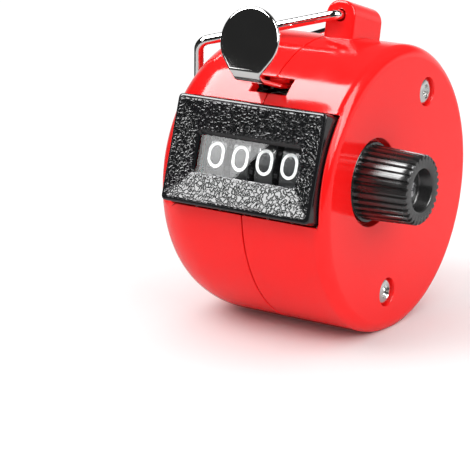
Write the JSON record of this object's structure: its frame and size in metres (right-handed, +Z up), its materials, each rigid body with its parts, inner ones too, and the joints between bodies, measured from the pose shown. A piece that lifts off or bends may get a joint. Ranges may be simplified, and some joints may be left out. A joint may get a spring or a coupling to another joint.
{
  "type": "mechanical tally counter",
  "caption": "Hand tally counter: round two-shell case, framed display with number wheels, thumb lever on top, ribbed reset knob at the side and a folding finger ring.",
  "frame": {"origin": "on the plane of the narrow flat that the drum rests on, straight below the drum's axis, at the middle of the drum's length", "axes": "+X along the drum's axis to the reset knob, -Y to the display side, +Z up towards the finger ring"},
  "size_m": [0.0466, 0.0483, 0.0533],
  "materials": {
    "red_gloss_shell": "smooth gloss red moulding",
    "black_grained_frame": "fine leather grain",
    "clear_window": "clear and polished",
    "black_number_wheel": "satin, white figures",
    "bright_chrome": "bright plating",
    "black_knob": "satin",
    "zinc_plated_steel": "zinc plated",
    "spring_steel": "plain spring steel",
    "natural_pinion": "natural moulding"
  },
  "bodies": {
    "case": {"left_shell": "red_gloss_shell", "right_shell": "red_gloss_shell", "bezel": "black_grained_frame", "window_lens": "clear_window", "pinion_shaft": "zinc_plated_steel", "case_screw_upper": "zinc_plated_steel", "case_screw_lower": "zinc_plated_steel", "right_frame_plate": "zinc_plated_steel", "left_frame_plate": "zinc_plated_steel", "frame_post_upper": "zinc_plated_steel", "frame_post_lower": "zinc_plated_steel", "lever_pivot_left": "zinc_plated_steel", "lever_pivot_right": "zinc_plated_steel", "lever_return_spring": "spring_steel", "detent_spring": "spring_steel"},
    "reset_knob": {"reset_knob": "black_knob", "reset_shaft": "zinc_plated_steel", "shaft_clip": "spring_steel", "knob_screw": "zinc_plated_steel"},
    "units_wheel": {"number_wheel_units": "black_number_wheel", "ratchet_wheel": "zinc_plated_steel"},
    "tens_wheel": {"number_wheel_tens": "black_number_wheel"},
    "hundreds_wheel": {"number_wheel_hundreds": "black_number_wheel"},
    "thousands_wheel": {"number_wheel_thousands": "black_number_wheel"},
    "tens_pinion": {"transfer_pinion_tens": "natural_pinion"},
    "hundreds_pinion": {"transfer_pinion_hundreds": "natural_pinion"},
    "thousands_pinion": {"transfer_pinion_thousands": "natural_pinion"},
    "thumb_lever": {"thumb_lever": "bright_chrome", "pawl_rivet": "zinc_plated_steel", "pawl_spring": "spring_steel"},
    "drive_pawl": {"drive_pawl": "zinc_plated_steel"},
    "finger_ring": {"finger_ring": "bright_chrome"}
  },
  "joints": [
    {"name": "reset_knob_turn", "type": "hinge", "parent": "case", "child": "reset_knob", "pos_m": [0.00185, -0.00831, 0.02565], "axis": [1, 0, 0], "continuous": true},
    {"name": "units_count", "type": "hinge", "parent": "case", "child": "units_wheel", "pos_m": [0.00185, -0.00831, 0.02565], "axis": [-1, 0, 0], "continuous": true},
    {"name": "tens_count", "type": "hinge", "parent": "case", "child": "tens_wheel", "pos_m": [0.00185, -0.00831, 0.02565], "axis": [-1, 0, 0], "continuous": true},
    {"name": "hundreds_count", "type": "hinge", "parent": "case", "child": "hundreds_wheel", "pos_m": [0.00185, -0.00831, 0.02565], "axis": [-1, 0, 0], "continuous": true},
    {"name": "thousands_count", "type": "hinge", "parent": "case", "child": "thousands_wheel", "pos_m": [0.00185, -0.00831, 0.02565], "axis": [-1, 0, 0], "continuous": true},
    {"name": "tens_pinion_turn", "type": "hinge", "parent": "case", "child": "tens_pinion", "pos_m": [0.00185, 0.00571, 0.02096], "axis": [-1, 0, 0], "continuous": true},
    {"name": "hundreds_pinion_turn", "type": "hinge", "parent": "case", "child": "hundreds_pinion", "pos_m": [0.00185, 0.00571, 0.02096], "axis": [-1, 0, 0], "continuous": true},
    {"name": "thousands_pinion_turn", "type": "hinge", "parent": "case", "child": "thousands_pinion", "pos_m": [0.00185, 0.00571, 0.02096], "axis": [-1, 0, 0], "continuous": true},
    {"name": "thumb_press", "type": "hinge", "parent": "case", "child": "thumb_lever", "pos_m": [0.00185, -0.01661, 0.01535], "axis": [-1, 0, 0], "range_deg": [0, 7], "stiffness_Nm_per_rad": 0.4, "springref_deg": -5.73, "deforming": ["lever_return_spring"]},
    {"name": "pawl_lift", "type": "hinge", "parent": "thumb_lever", "child": "drive_pawl", "pos_m": [0.00185, -0.0114, 0.03533], "axis": [1, 0, 0], "range_deg": [0, 8], "stiffness_Nm_per_rad": 0.005, "springref_deg": -8.59},
    {"name": "ring_fold", "type": "hinge", "parent": "case", "child": "finger_ring", "pos_m": [0.0047, 0.00547, 0.04818], "axis": [0, 0.9781, -0.2079], "range_deg": [0, 205]}
  ],
  "couplings": [
    {"joint": "tens_count", "follows": "units_count", "ratio": 0.1},
    {"joint": "hundreds_count", "follows": "units_count", "ratio": 0.01},
    {"joint": "thousands_count", "follows": "units_count", "ratio": 0.001},
    {"joint": "tens_pinion_turn", "follows": "units_count", "ratio": -0.25},
    {"joint": "hundreds_pinion_turn", "follows": "units_count", "ratio": -0.025},
    {"joint": "thousands_pinion_turn", "follows": "units_count", "ratio": -0.0025}
  ]
}
